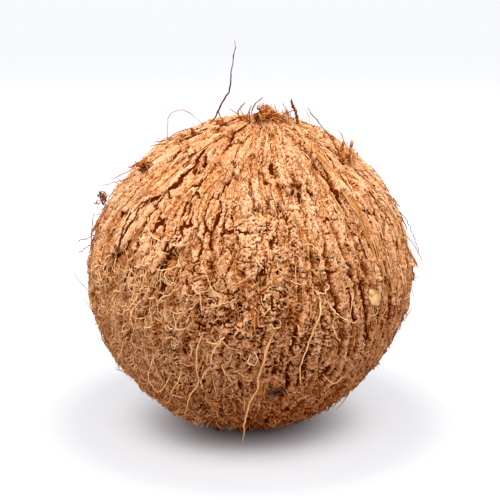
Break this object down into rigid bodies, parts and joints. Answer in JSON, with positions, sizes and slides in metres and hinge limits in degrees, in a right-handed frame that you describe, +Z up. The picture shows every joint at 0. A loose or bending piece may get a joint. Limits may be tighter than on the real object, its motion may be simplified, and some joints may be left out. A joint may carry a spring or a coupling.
{
  "type": "coconut",
  "caption": "Husked coconut in a rough coat of brown coir, with torn husk plates and loose strands, resting on a small flat spot.",
  "frame": {"origin": "middle of the small flat spot that the coconut rests on", "axes": "+Z up through the stalk end, +X to the right of the side that faces -Y"},
  "size_m": [0.1344, 0.1293, 0.1485],
  "materials": {
    "coir_husk": "dry matt coir fibre, torn plates and loose strands, darker in the grooves and towards the base"
  },
  "bodies": {
    "root": {"coconut": "coir_husk"}
  },
  "joints": []
}
